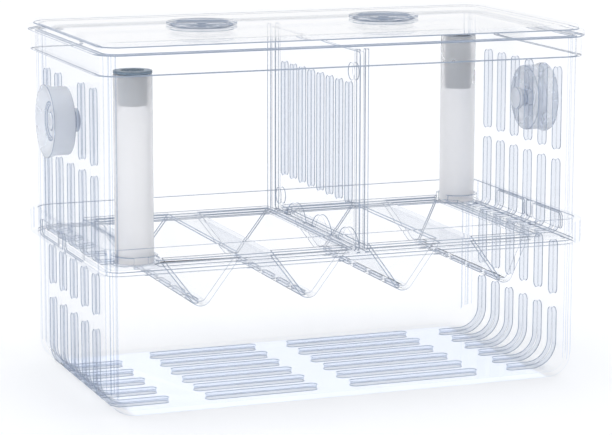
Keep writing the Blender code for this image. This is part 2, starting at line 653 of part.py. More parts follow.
# Feed caps: shallow dishes with an air hole, dropped into the ports
cap_level = LID_TOP + FIT
for side, end in ((-1, "left"), (1, "right")):
    place = (CAP_SHIFT + side * CAP_X, 0, 0)
    port_top = LID_TOP + OVERRUN
    combine(lid, drum(f"port_{end}", CAP_BODY_RADIUS + FIT, port_top - LID_BASE,
                      (place[0], 0, (port_top + LID_BASE) / 2)))
    cap_top = cap_level + CAP_FLANGE
    dish = cap_top - CAP_DEPTH
    cap = add_piece(f"feed_cap_{end}", turned(f"feed_cap_{end}", (
        (CAP_HOLE_RADIUS, dish), (CAP_BODY_RADIUS - CAP_WALL, dish),
        (CAP_BODY_RADIUS - CAP_WALL, cap_top), (CAP_FLANGE_RADIUS - FIT, cap_top),
        (CAP_FLANGE_RADIUS, cap_top - FIT), (CAP_FLANGE_RADIUS, cap_level),
        (CAP_BODY_RADIUS, cap_level), (CAP_BODY_RADIUS, dish - CAP_WALL),
        (CAP_HOLE_RADIUS, dish - CAP_WALL)), closed=True), CLEAR, place)
    screw(cap)


# Suction cups: a stem and head through the wall, a drum dished on both faces, a sucking lip
for side, end in ((-1, "left"), (1, "right")):
    back = FIT
    front = back + CUP_LENGTH
    lip_inner = CUP_LIP_RADIUS - CUP_LIP_WIDTH
    dish = front - CUP_DISH_DEPTH
    head_out = -WALL - FIT
    head_in = head_out - CUP_HEAD
    cup = add_piece(f"suction_cup_{end}", turned(f"suction_cup_{end}", (
        (0, dish + CUP_NUB_HEIGHT), (CUP_NUB_RADIUS - CUP_EDGE, dish + CUP_NUB_HEIGHT),
        (CUP_NUB_RADIUS, dish), (lip_inner, front), (CUP_LIP_RADIUS - FIT, front),
        (CUP_LIP_RADIUS, front - CUP_EDGE), (CUP_RADIUS, front - CUP_DISH_DEPTH),
        (CUP_RADIUS, back + CUP_EDGE), (CUP_RADIUS - CUP_EDGE, back),
        (lip_inner - CUP_EDGE, back), (CUP_STEM_RADIUS, back + CUP_BACK_DEPTH),
        (CUP_STEM_RADIUS, head_out), (CUP_HEAD_RADIUS, head_out),
        (CUP_HEAD_RADIUS, head_in + CUP_EDGE), (CUP_HEAD_RADIUS - CUP_EDGE, head_in),
        (0, head_in))), MILKY, (side * HALF_LENGTH, 0, CUP_Z))
    cup.rotation_euler = (0, side * radians(90), 0)
    screw(cup)
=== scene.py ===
# %% [markdown]
# # A clear breeding box in two storeys
# Everything on this object is moulded plastic, and most of it is as clear as glass. Clear things are
# hard to draw: what the eye reads is not the walls but their edges, lips and slots. So this lesson
# spends its time on rounded edges and on a plastic that tints where it is seen aslant.

# %% Load the frame
from math import atan2, copysign, cos, degrees, hypot, pi, radians, sin

import bmesh
import bpy
from mathutils import Matrix, Vector


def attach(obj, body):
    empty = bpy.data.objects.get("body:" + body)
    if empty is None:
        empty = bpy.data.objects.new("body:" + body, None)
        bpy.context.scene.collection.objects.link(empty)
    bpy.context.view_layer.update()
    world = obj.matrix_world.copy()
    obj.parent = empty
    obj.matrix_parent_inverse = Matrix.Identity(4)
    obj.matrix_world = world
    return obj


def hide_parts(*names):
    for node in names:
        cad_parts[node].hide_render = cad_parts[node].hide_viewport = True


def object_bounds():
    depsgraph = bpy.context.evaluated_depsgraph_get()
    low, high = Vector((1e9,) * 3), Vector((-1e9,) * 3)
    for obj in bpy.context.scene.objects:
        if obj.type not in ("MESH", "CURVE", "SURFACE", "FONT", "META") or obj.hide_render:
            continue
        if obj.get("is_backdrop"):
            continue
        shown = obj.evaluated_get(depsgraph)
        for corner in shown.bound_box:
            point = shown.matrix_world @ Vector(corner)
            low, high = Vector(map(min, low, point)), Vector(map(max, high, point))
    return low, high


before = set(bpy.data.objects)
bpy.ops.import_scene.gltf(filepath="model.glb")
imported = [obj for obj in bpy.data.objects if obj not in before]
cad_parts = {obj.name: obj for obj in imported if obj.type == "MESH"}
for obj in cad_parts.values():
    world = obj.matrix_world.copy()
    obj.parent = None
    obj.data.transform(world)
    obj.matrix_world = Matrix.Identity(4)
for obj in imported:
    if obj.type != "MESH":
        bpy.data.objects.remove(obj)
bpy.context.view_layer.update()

mm = 0.001

# %% [markdown]
# ## The camera
# The photograph looks at the long front from a little to the left and a little above, from about a
# metre away. A long lens from far off keeps the upright edges nearly parallel, as they are there.

# %% Camera
YAW, PITCH, ROLL = radians(20.93), radians(10.34), radians(0.11)
camera_data = bpy.data.cameras.new("product_camera")
camera_data.sensor_fit = "HORIZONTAL"
camera_data.sensor_width = 36.0
camera_data.lens = 146.97
camera_data.clip_start, camera_data.clip_end = 0.05, 20.0
camera = bpy.data.objects.new("product_camera", camera_data)
ahead = Vector((sin(YAW) * cos(PITCH), cos(YAW) * cos(PITCH), -sin(PITCH)))
turn = ahead.to_track_quat("-Z", "Y").to_matrix() @ Matrix.Rotation(ROLL, 3, "Z")
camera.matrix_world = Matrix.Translation((-0.35468, -0.93044, 0.24431)) @ turn.to_4x4()
bpy.context.scene.collection.objects.link(camera)
bpy.context.scene.camera = camera
print("camera looks along", [round(c, 3) for c in ahead])

# %% [markdown]
# ## Light and ground
# The object is photographed on white. The world is plain white to the camera and to rays that have
# gone through plastic or bounced off a gloss, and a softer light to everything else, so the ground
# and the milky parts are lit at the level their colours are written for.

# %% World
scene = bpy.context.scene
scene.view_settings.view_transform = "Standard"
scene.cycles.max_bounces = 40
scene.cycles.diffuse_bounces = 12
scene.cycles.transmission_bounces = 40
scene.cycles.transparent_max_bounces = 40
world = bpy.data.worlds.new("white_studio")
world.use_nodes = True
scene.world = world
nodes, links = world.node_tree.nodes, world.node_tree.links
nodes.clear()
path = nodes.new("ShaderNodeLightPath")
seen = nodes.new("ShaderNodeMath")
seen.operation = "MAXIMUM"
links.new(path.outputs["Is Camera Ray"], seen.inputs[0])
gloss_or_clear = nodes.new("ShaderNodeMath")
gloss_or_clear.operation = "MAXIMUM"
links.new(path.outputs["Is Glossy Ray"], gloss_or_clear.inputs[0])
links.new(path.outputs["Is Transmission Ray"], gloss_or_clear.inputs[1])
links.new(gloss_or_clear.outputs[0], seen.inputs[1])
soft = nodes.new("ShaderNodeBackground")
soft.inputs["Color"].default_value = (0.98, 0.985, 1.0, 1.0)
soft.inputs["Strength"].default_value = 0.9
white = nodes.new("ShaderNodeBackground")
white.inputs["Strength"].default_value = 1.0
white.inputs["Color"].default_value = (1.0, 1.0, 1.0, 1.0)
choose = nodes.new("ShaderNodeMixShader")
links.new(seen.outputs[0], choose.inputs["Fac"])
links.new(soft.outputs[0], choose.inputs[1])
links.new(white.outputs[0], choose.inputs[2])
out = nodes.new("ShaderNodeOutputWorld")
links.new(choose.outputs[0], out.inputs["Surface"])


# %% Lamps and ground
def soft_lamp(name, place, aim, size, power):
    """A square area lamp that points at a place on the object."""
    data = bpy.data.lights.new(name, "AREA")
    data.size, data.energy = size, power
    lamp = bpy.data.objects.new(name, data)
    lamp.location = place
    lamp.rotation_mode = "QUATERNION"
    lamp.rotation_quaternion = (Vector(aim) - Vector(place)).to_track_quat("-Z", "Y")
    scene.collection.objects.link(lamp)
    return lamp


soft_lamp("lamp_over", (0.2, 0.6, 3.0), (0.1, 0.3, 0), 2.0, 9.0)
soft_lamp("lamp_left", (-2.4, -1.4, 1.8), (0, 0, 0.08), 1.4, 10.0)

ground_mesh = bpy.data.meshes.new("ground")
bm = bmesh.new()
bmesh.ops.create_grid(bm, x_segments=1, y_segments=1, size=3.0)
bm.to_mesh(ground_mesh)
bm.free()
ground = bpy.data.objects.new("ground", ground_mesh)
scene.collection.objects.link(ground)
ground_mat = bpy.data.materials.new("white_table")
ground_mat.use_nodes = True
ground_tree = ground_mat.node_tree
ground_shader = ground_tree.nodes["Principled BSDF"]
ground_shader.inputs["Base Color"].default_value = (0.93, 0.94, 0.96, 1.0)
ground_shader.inputs["Roughness"].default_value = 1.0
ground_shader.inputs["Specular IOR Level"].default_value = 0.0
ground_shader.inputs["Emission Color"].default_value = (1.0, 1.0, 1.0, 1.0)
ground_path = ground_tree.nodes.new("ShaderNodeLightPath")
ground_seen = ground_tree.nodes.new("ShaderNodeMath")
ground_seen.operation = "MAXIMUM"
ground_tree.links.new(ground_path.outputs["Is Camera Ray"], ground_seen.inputs[0])
ground_tree.links.new(ground_path.outputs["Is Transmission Ray"], ground_seen.inputs[1])
ground_lift = ground_tree.nodes.new("ShaderNodeMath")
ground_lift.operation = "MULTIPLY"
ground_lift.inputs[1].default_value = 0.12
ground_tree.links.new(ground_seen.outputs[0], ground_lift.inputs[0])
ground_tree.links.new(ground_lift.outputs[0], ground_shader.inputs["Emission Strength"])
ground_mesh.materials.append(ground_mat)
ground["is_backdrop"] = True

# %% [markdown]
# ## Clear plastic
# Thin clear walls hardly bend what is behind them, so the plastic here has almost the index of air
# and gets its gloss from a coat. What draws a clear box is its rounded edges, where real plastic
# turns light away: those small faces get painted grey-blue shade in a cloudy material, and the
# walls inside the slots a paler painted shade. The flat walls tint only when seen aslant. All of
# it sits in the surfaces: absorption inside would go wrong where a ray enters by one material and
# leaves by another.
# Lamps are let straight through, since light focused by walls would take far too many samples.


# %% Clear plastic
def add(tree, kind, **settings):
    """Adds a node and sets its inputs by name."""
    node = tree.nodes.new(kind)
    for key, value in settings.items():
        node.inputs[key.replace("_", " ")].default_value = value
    return node


def let_lamps_through(tree, shader, colour):
    """Sends shadow rays straight through a material, and all others to its shader."""
    through = tree.nodes.new("ShaderNodeBsdfTransparent")
    through.inputs["Color"].default_value = (*colour, 1)
    path = tree.nodes.new("ShaderNodeLightPath")
    lamps = tree.nodes.new("ShaderNodeMixShader")
    tree.links.new(path.outputs["Is Shadow Ray"], lamps.inputs["Fac"])
    tree.links.new(shader.outputs["BSDF"], lamps.inputs[1])
    tree.links.new(through.outputs["BSDF"], lamps.inputs[2])
    tree.links.new(lamps.outputs["Shader"], tree.nodes["Material Output"].inputs["Surface"])


def clear_plastic(name, seed, coat, tints):
    """Clear moulded plastic, with its tints seen straight on, aslant and grazing."""
    mat = bpy.data.materials.new(name)
    mat.use_nodes = True
    tree = mat.node_tree
    shader = tree.nodes["Principled BSDF"]
    shader.inputs["Transmission Weight"].default_value = 1.0
    shader.inputs["IOR"].default_value = 1.002
    shader.inputs["Coat Weight"].default_value = coat
    shader.inputs["Coat Roughness"].default_value = 0.03
    coord = tree.nodes.new("ShaderNodeTexCoord")
    place = add(tree, "ShaderNodeMapping", Location=(seed, seed / 3, 0))
    tree.links.new(coord.outputs["Object"], place.inputs["Vector"])
    waves = add(tree, "ShaderNodeTexNoise", Scale=38.0, Detail=1.0)
    scuffs = add(tree, "ShaderNodeTexNoise", Scale=420.0, Detail=4.0)
    for noise in (waves, scuffs):
        tree.links.new(place.outputs["Vector"], noise.inputs["Vector"])
    bump = add(tree, "ShaderNodeBump", Strength=0.02, Distance=0.0001)
    tree.links.new(waves.outputs["Fac"], bump.inputs["Height"])
    tree.links.new(bump.outputs["Normal"], shader.inputs["Normal"])
    gloss = add(tree, "ShaderNodeMapRange", From_Min=0.35, From_Max=0.75, To_Min=0.0, To_Max=0.02)
    tree.links.new(scuffs.outputs["Fac"], gloss.inputs["Value"])
    tree.links.new(gloss.outputs["Result"], shader.inputs["Roughness"])
    facing = add(tree, "ShaderNodeLayerWeight", Blend=0.5)
    rim = tree.nodes.new("ShaderNodeValToRGB")
    stops = rim.color_ramp.elements
    stops.new(0.7)
    for stop, place, colour in zip(stops, (0.5, 0.7, 1.0), tints):
        stop.position, stop.color = place, (*colour, 1)
    tree.links.new(facing.outputs["Facing"], rim.inputs["Fac"])
    tree.links.new(rim.outputs["Color"], shader.inputs["Base Color"])
    let_lamps_through(tree, shader, (0.985, 0.988, 0.994))
    return mat


# %% [markdown]
# ## Frosted, smoky and milky plastics
# The float tubes are frosted white, their stoppers a smoky grey-blue that shows dimly through the
# tube, and the suction cups are a milky rubber. All three let light in but not sight.


# %% Frosted, smoky and milky plastics
def cloudy_plastic(name, light, dark, roughness, clear, scale, seed):
    """Plastic that scatters light, with soft clouds of two near tones."""
    mat = bpy.data.materials.new(name)
    mat.use_nodes = True
    tree = mat.node_tree
    shader = tree.nodes["Principled BSDF"]
    shader.inputs["Transmission Weight"].default_value = clear
    shader.inputs["IOR"].default_value = 1.15
    coord = tree.nodes.new("ShaderNodeTexCoord")
    place = add(tree, "ShaderNodeMapping", Location=(seed, 0, seed / 2))
    clouds = add(tree, "ShaderNodeTexNoise", Scale=scale, Detail=3.0)
    tone = tree.nodes.new("ShaderNodeValToRGB")
    tone.color_ramp.elements[0].position, tone.color_ramp.elements[0].color = 0.3, (*dark, 1)
    tone.color_ramp.elements[1].position, tone.color_ramp.elements[1].color = 0.7, (*light, 1)
    grain = add(tree, "ShaderNodeTexNoise", Scale=scale * 30, Detail=2.0)
    bump = add(tree, "ShaderNodeBump", Strength=0.08, Distance=0.0002)
    gloss = add(tree, "ShaderNodeMapRange", From_Min=0.3, From_Max=0.7,
                To_Min=roughness - 0.05, To_Max=roughness + 0.05)
    tree.links.new(coord.outputs["Object"], place.inputs["Vector"])
    for noise in (clouds, grain):
        tree.links.new(place.outputs["Vector"], noise.inputs["Vector"])
    tree.links.new(clouds.outputs["Fac"], tone.inputs["Fac"])
    tree.links.new(clouds.outputs["Fac"], gloss.inputs["Value"])
    tree.links.new(tone.outputs["Color"], shader.inputs["Base Color"])
    tree.links.new(gloss.outputs["Result"], shader.inputs["Roughness"])
    tree.links.new(grain.outputs["Fac"], bump.inputs["Height"])
    tree.links.new(bump.outputs["Normal"], shader.inputs["Normal"])
    let_lamps_through(tree, shader, (0.85, 0.86, 0.9))
    return mat


# %% [markdown]
# ## Blocks, slots and cutting
# Nearly every piece here is a rounded block with other blocks and slots taken out of it. The blocks
# are cubes with bevelled edges. Boolean modifiers cut and join them. At the end each sharp edge
# gets a small bevel, because on clear plastic the rounded edge is what catches the light.


# %% Blocks
def bevel_edges(bm, edges, radius, steps, clamp=True):
    """Rounds edges into an arc and returns its faces."""
    return bmesh.ops.bevel(bm, geom=edges, offset=radius, offset_type="OFFSET", segments=steps,
                           profile=0.5, affect="EDGES", material=-1, clamp_overlap=clamp)["faces"]


def at_level(bm, level):
    """Edges that lie flat at one height."""
    return [e for e in bm.edges if all(abs(v.co.z - level) < 0.001 * mm for v in e.verts)]


def add_block(bm, half_x, half_y, low, high, at=(0, 0)):
    """Adds a box between two heights."""
    made = bmesh.ops.create_cube(bm, size=1.0)["verts"]
    bmesh.ops.scale(bm, vec=(2 * half_x, 2 * half_y, high - low), verts=made)
    bmesh.ops.translate(bm, vec=(at[0], at[1], (high + low) / 2), verts=made)
    return made


def block(half_x, half_y, low, high, side=0.0, foot=0.0, top=0.0):
    """A box with rounded upright, lower and upper edges, as a bmesh."""
    bm = bmesh.new()
    add_block(bm, half_x, half_y, low, high)
    if side:
        bevel_edges(bm, [e for e in bm.edges if abs(e.verts[0].co.z - e.verts[1].co.z) > 0.1 * mm],
                    side, 17)
    if foot:
        bevel_edges(bm, at_level(bm, low), foot, 5)
    if top:
        bevel_edges(bm, at_level(bm, high), top, 4)
    return bm


def add_slot(bm, centre, width, length, through, matrix=None):
    """Adds a round-ended slot tool, long in X and cutting along Z before its turn."""
    made = bmesh.ops.create_cone(bm, cap_ends=True, segments=16, radius1=width / 2,
                                 radius2=width / 2, depth=through)["verts"]
    bmesh.ops.rotate(bm, verts=made, cent=(0, 0, 0), matrix=Matrix.Rotation(pi / 16, 3, "Z"))
    for v in made:
        v.co.x += copysign((length - width) / 2, v.co.x)
        for face in v.link_faces:
            face.material_index = 2
    if matrix:
        bmesh.ops.rotate(bm, verts=made, cent=(0, 0, 0), matrix=matrix)
    bmesh.ops.translate(bm, vec=centre, verts=made)


def add_drum(bm, radius, low, high, centre=(0, 0, 0), matrix=None):
    """Adds a cylinder about Z, turned and placed."""
    made = bmesh.ops.create_cone(bm, cap_ends=True, segments=48, radius1=radius, radius2=radius,
                                 depth=high - low)["verts"]
    bmesh.ops.translate(bm, vec=(0, 0, (high + low) / 2), verts=made)
    if matrix:
        bmesh.ops.rotate(bm, verts=made, cent=(0, 0, 0), matrix=matrix)
    bmesh.ops.translate(bm, vec=centre, verts=made)


ON_X = Matrix.Rotation(radians(90), 3, "Y")
ON_Y = Matrix.Rotation(radians(90), 3, "Z")


def spread(count, pitch, middle=0.0):
    """Evenly spaced places about a middle."""
    return [middle + (i - (count - 1) / 2) * pitch for i in range(count)]


# %% Cutting, joining and finishing
def as_object(name, bm):
    """Turns a bmesh into an object, faces outwards, with three places for materials."""
    bmesh.ops.recalc_face_normals(bm, faces=bm.faces)
    mesh = bpy.data.meshes.new(name)
    bm.to_mesh(mesh)
    bm.free()
    for _ in range(3):
        mesh.materials.append(None)
    made = bpy.data.objects.new(name, mesh)
    scene.collection.objects.link(made)
    return made


def evaluated(body, spares=()):
    """Returns what an object's modifiers make of it as a bmesh, and removes the object."""
    bpy.context.view_layer.update()
    solid = bpy.data.meshes.new_from_object(
        body.evaluated_get(bpy.context.evaluated_depsgraph_get()))
    bm = bmesh.new()
    bm.from_mesh(solid)
    bpy.data.meshes.remove(solid)
    for spare in (body, *spares):
        mesh = spare.data
        bpy.data.objects.remove(spare)
        bpy.data.meshes.remove(mesh)
    return bm


def shape(name, first, steps):
    """Cuts tools from a first body, or joins them to it, and returns the result as a bmesh."""
    body = as_object(name, first)
    tools = []
    for operation, tool in steps:
        tools.append(as_object(f"{name}_tool", tool))
        boolean = body.modifiers.new(operation, "BOOLEAN")
        boolean.operation, boolean.solver, boolean.object = operation, "EXACT", tools[-1]
    bm = evaluated(body, tools)
    bmesh.ops.remove_doubles(bm, verts=bm.verts, dist=0.002 * mm)
    bmesh.ops.dissolve_limit(bm, angle_limit=radians(0.5), verts=bm.verts, edges=bm.edges)
    return bm


def soften(bm, radius, steps=2, angle=40):
    """Drops crumbs of edges, then rounds every sharp edge a little, in the edge material."""
    bmesh.ops.dissolve_degenerate(bm, dist=0.05 * mm, edges=bm.edges)
    sharp = [e for e in bm.edges if len(e.link_faces) == 2 and e.calc_face_angle() > radians(angle)]
    for face in bevel_edges(bm, sharp, radius, steps, clamp=False):
        face.material_index = 1


def piece(name, bm, node, *mats, smooth=35):
    """Makes the finished piece, in place of its CAD node and on that node's body."""
    bmesh.ops.recalc_face_normals(bm, faces=bm.faces)
    mesh = bpy.data.meshes.new(name)
    bm.to_mesh(mesh)
    bm.free()
    mesh.shade_smooth()
    mesh.set_sharp_from_angle(angle=radians(smooth))
    for face in mesh.polygons:
        face.use_smooth = face.area < 150 * mm ** 2
    made = bpy.data.objects.new(name, mesh)
    scene.collection.objects.link(made)
    for mat in mats:
        mesh.materials.append(mat)
    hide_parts(node)
    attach(made, node)
    low, high = (Vector(map(f, *[v.co for v in mesh.vertices])) for f in (min, max))
    print(name, [round(1000 * c, 1) for c in (*low, *high)], len(mesh.polygons), "faces")
    return made


# %% [markdown]
# ## The lower box
# The lower box is a tray with a collar that steps outwards round its top, so that the upper box can
# stand in it. Its short walls are slotted, and the lower slots turn round the foot into the floor.
# The same slot tool cuts them all: once upright through the wall, once flat through the floor.

# %% Shared sizes
GAP = 0.3 * mm
OVER = 1.0 * mm
HALF_X, HALF_Y, WALL, ROUND = 98 * mm, 52 * mm, 2 * mm, 7 * mm
IN_X, IN_Y = HALF_X - WALL, HALF_Y - WALL
SHELF, COLLAR_LOW, COLLAR_TOP = 56.1 * mm, 55.1 * mm, 65.2 * mm
UPPER_BASE, UPPER_FLOOR, UPPER_TOP = 56.4 * mm, 57.6 * mm, 137.7 * mm
SEAT = UPPER_FLOOR + GAP
DIVIDER_X = 5.3 * mm
# Painted grey-blue shade for the rounded edges, in two near tones: real clear plastic turns light
# away there.
EDGE_SHADE_PALE, EDGE_SHADE_DEEP = (0.44, 0.50, 0.61), (0.35, 0.41, 0.52)
# Painted shade for the slot walls and the faint corner lines, and a deeper painted shade for the
# strong corner line.
SLOT_SHADE, CORNER_SHADE = (0.67, 0.715, 0.80), (0.54, 0.61, 0.72)
WALL_TINTS = ((1, 1, 1), (0.95, 0.957, 0.97), (0.78, 0.805, 0.85))
LID_TINTS = ((1, 1, 1), (0.985, 0.988, 0.995), (0.93, 0.945, 0.975))


def clear_set(name, seed, coat=0.3, tints=WALL_TINTS):
    """The materials of a clear piece: its walls, and painted shade for its rounded edges, slot walls
    and corner lines.
    """
    return (clear_plastic(name, seed, coat, tints),
            cloudy_plastic(f"{name}_edge", EDGE_SHADE_PALE, EDGE_SHADE_DEEP, 0.3, 0.0, 60, seed),
            clear_plastic(f"{name}_slot", seed, coat, 3 * (SLOT_SHADE,)),
            clear_plastic(f"{name}_corner", seed, coat, 3 * (CORNER_SHADE,)))


def shade_corners(bm):
    """Paints a strong and two faint lines of shade along each upright rounded corner."""
    for face in bm.faces:
        x, y, _ = face.calc_center_median()
        if abs(face.normal.z) > 0.05 or min(abs(x) - HALF_X, abs(y) - HALF_Y) < -5.2 * mm:
            continue
        from_diagonal = abs(degrees(atan2(face.normal.y, face.normal.x)) % 90 - 45)
        if from_diagonal < 2.7:
            face.material_index = 3
        elif 18.5 < from_diagonal < 23.9:
            face.material_index = 2


def mould(half_x, half_y, low, high, side, foot, sole):
    """A box whose floor turns up in a wide arc at its ends and in a tight one along its length."""
    bm = bmesh.new()
    add_block(bm, half_x, half_y, low, high)
    bevel_edges(bm, [e for e in at_level(bm, low) if abs(e.verts[0].co.x - e.verts[1].co.x) < mm],
                foot, 14)
    weight = bm.edges.layers.float.new("bevel_weight_edge")
    topmost = at_level(bm, high)
    for edge in bm.edges:
        a, b = (v.co for v in edge.verts)
        if abs(a.y - b.y) < 0.01 * mm and edge not in topmost:
            rise = min(((a.z + b.z) / 2 - low) / foot, 1)
            edge[weight] = (sole + (side - sole) * rise) / side
    body = as_object("mould", bm)
    rounding = body.modifiers.new("rounding", "BEVEL")
    rounding.limit_method, rounding.offset_type = "WEIGHT", "OFFSET"
    rounding.width, rounding.segments, rounding.profile = side, 17, 0.5
    return evaluated(body)


def wall_slots(side, rows, width, low, high):
    """Upright slots through one short wall."""
    bm = bmesh.new()
    for y in rows:
        add_slot(bm, (side * (HALF_X - WALL / 2), y, (low + high) / 2), width, high - low,
                 WALL + 2 * OVER, ON_X)
    return bm


def foot_slots(side, rows, width, base, split, reach, foot):
    """Slots that turn the foot of a short wall, as two tools."""
    turn_top = base + foot + OVER
    low = turn_top - 2 * width
    upright, flat = bmesh.new(), bmesh.new()
    near, far = HALF_X - reach, HALF_X + 2 * width
    for y in rows:
        add_slot(upright, (side * (HALF_X - foot / 2), y, (low + split) / 2), width, split - low,
                 foot + 2 * OVER, ON_X)
        add_slot(flat, (side * (near + far) / 2, y, (base - OVER + turn_top) / 2),
                 width + 0.1 * mm, far - near, turn_top - base + OVER)
    return flat, upright


# %% Lower box
OUT = GAP + 3.1 * mm
FOOT, SOLE = 11 * mm, 3 * mm
recess_half = (COLLAR_TOP - COLLAR_LOW) / 2 - 1.8 * mm
middle = (COLLAR_LOW + COLLAR_TOP) / 2
steps = [
    ("UNION", block(HALF_X + OUT, HALF_Y + OUT, COLLAR_LOW, COLLAR_TOP, ROUND + OUT,
                    0.7 * mm, 0.9 * mm)),
    ("DIFFERENCE", mould(IN_X, IN_Y, WALL, COLLAR_TOP + 2 * OVER, ROUND - WALL, FOOT - WALL,
                         SOLE - WALL)),
    ("DIFFERENCE", block(HALF_X + GAP, HALF_Y + GAP, SHELF, COLLAR_TOP + OVER, ROUND + GAP)),
]
floor_slots = bmesh.new()
for side, rows, split, reach in ((-1, spread(5, 15.5 * mm, -2 * mm), 31 * mm, 29.5 * mm),
                                 (1, spread(6, 13.6 * mm, 2 * mm), 24.7 * mm, 21 * mm)):
    face = side * (HALF_X + OUT)
    out_turn = Matrix.Rotation(side * radians(90), 3, "Y")
    for along in (-1, 1):
        recess = block(recess_half, 13.5 * mm, -0.9 * mm, OVER, 2 * mm)
        bmesh.ops.rotate(recess, verts=recess.verts, cent=(0, 0, 0), matrix=out_turn)
        bmesh.ops.translate(recess, verts=recess.verts, vec=(face, along * 17.5 * mm, middle))
        steps.append(("DIFFERENCE", recess))
    grip = block(recess_half, 2.5 * mm, -1.2 * mm, 0.8 * mm, top=0.4 * mm)
    bmesh.ops.rotate(grip, verts=grip.verts, cent=(0, 0, 0), matrix=out_turn)
    bmesh.ops.translate(grip, verts=grip.verts, vec=(face, 0, middle))
    steps.append(("UNION", grip))
    for tool in foot_slots(side, rows, 4 * mm, 0, split, reach, FOOT):
        steps.append(("DIFFERENCE", tool))
    steps.append(("DIFFERENCE", wall_slots(side, rows, 4 * mm, split + 6 * mm, 52.7 * mm)))
    far = HALF_X - reach - 15 * mm
    for y in spread(6, 14.4 * mm, 2 * mm):
        add_slot(floor_slots, (side * (far + 7.2 * mm) / 2, y, 1 * mm), 4.6 * mm, far - 7.2 * mm,
                 4 * mm)
steps.append(("DIFFERENCE", floor_slots))
lower = shape("lower", mould(HALF_X, HALF_Y, 0, COLLAR_LOW + 0.5 * mm, ROUND, FOOT, SOLE), steps)
soften(lower, 0.25 * mm)
shade_corners(lower)
piece("lower_box_shell", lower, "lower_box", *clear_set("clear_lower_box", 1.3))

# %% [markdown]
# ## The upper box
# The upper box has the same outline. Its floor is only a frame: two wells, one each side of a bar,
# hold the trough trays. Two pairs of thin ribs hold the divider, and a ring in two corners holds
# the foot of each float tube.

# %% Upper box
CUP_Z = 107.2 * mm
TUBE_X, TUBE_Y = {-1: -84.1 * mm, 1: 86.7 * mm}, 41.5 * mm
WELL_NEAR, WELL_FAR = 3.5 * mm, {-1: 81.0 * mm, 1: 74.7 * mm}
steps = [("DIFFERENCE", block(IN_X, IN_Y, UPPER_FLOOR, UPPER_TOP + OVER, ROUND - WALL, 1.5 * mm))]
for side, rows, split in ((-1, spread(5, 16.5 * mm), 90.2 * mm),
                          (1, spread(6, 13.1 * mm), 86.2 * mm)):
    for tool in foot_slots(side, rows, 4 * mm, UPPER_BASE, split, 10 * mm, 3.5 * mm):
        steps.append(("DIFFERENCE", tool))
    beside = [y for y in rows if abs(y) > 5.5 * mm]
    steps.append(("DIFFERENCE", wall_slots(side, beside, 4 * mm, split + 4.2 * mm, 123.7 * mm)))
    stem_hole = bmesh.new()
    add_drum(stem_hole, 3.5 * mm, -2 * mm, 2 * mm, (side * (HALF_X - OVER), 0, CUP_Z), ON_X)
    steps.append(("DIFFERENCE", stem_hole))
ribs = bmesh.new()
for rib_side in (-1, 1):
    for wall_side in (-1, 1):
        add_block(ribs, 0.5 * mm, 2 * mm, UPPER_BASE + 0.6 * mm, UPPER_TOP - 1.5 * mm,
                  (DIVIDER_X + rib_side * 1.8 * mm, wall_side * 49 * mm))
steps.append(("UNION", ribs))
for side in (-1, 1):
    centre = (TUBE_X[side], side * TUBE_Y, 0)
    ring, ring_space = bmesh.new(), bmesh.new()
    add_drum(ring, 8.9 * mm, UPPER_BASE + 0.6 * mm, 61.1 * mm, centre)
    add_drum(ring_space, 7.7 * mm, UPPER_FLOOR, 62 * mm, centre)
    steps += [("UNION", ring), ("DIFFERENCE", ring_space)]
for side, far in WELL_FAR.items():
    well = block((far - WELL_NEAR) / 2, 46 * mm, UPPER_BASE - OVER, 62 * mm, 1 * mm)
    bmesh.ops.translate(well, verts=well.verts,
                        vec=(DIVIDER_X + side * (WELL_NEAR + far) / 2, 0, 0))
    steps.append(("DIFFERENCE", well))
upper = shape("upper", block(HALF_X, HALF_Y, UPPER_BASE, UPPER_TOP, ROUND, 3.5 * mm), steps)
soften(upper, 0.22 * mm)
shade_corners(upper)
piece("upper_box_shell", upper, "upper_box", *clear_set("clear_upper_box", 4.1))

# %% [markdown]
# ## The trough trays
# Each tray is a flat rim with two V-shaped troughs. A newborn fish sinks along the slopes and
# through the slots at the bottom, where its parent can't follow. The sides of a V are a cube whose
# upper corners are pulled apart, and the same cube a wall's thickness smaller hollows it. The
# right tray ends in a steeper side and a wider land, so its halves are not all alike.

# %% Trough trays
TRAY_WALL, DROP, V_FOOT = 1.5 * mm, 18.3 * mm, 4.4 * mm
HALVES = {-1: (16.2 * mm, 16.2 * mm), 1: (15.504 * mm, 10.488 * mm)}


def add_trough(bm, middle, outward, inner_half, outer_half, inset=0.0):
    """Adds a V body with a round bottom; an inset gives the space inside its walls."""
    low = SEAT - DROP
    made = add_block(bm, 1, 45.4 * mm - inset, low + inset,
                     SEAT + (TRAY_WALL + OVER if inset else TRAY_WALL / 2))
    for v in made:
        half = outer_half if v.co.x * outward > 0 else inner_half
        slope = (half - V_FOOT / 2) / DROP
        reach = V_FOOT / 2 + (v.co.z - low) * slope - inset * hypot(1, slope)
        v.co.x = middle + copysign(reach, v.co.x)
    keel = [e for e in at_level(bm, low + inset) if e.verts[0] in made
            and abs(e.verts[0].co.x - e.verts[1].co.x) < 0.01 * mm]
    bevel_edges(bm, keel, 0.9 * mm if inset else 1.9 * mm, 5)


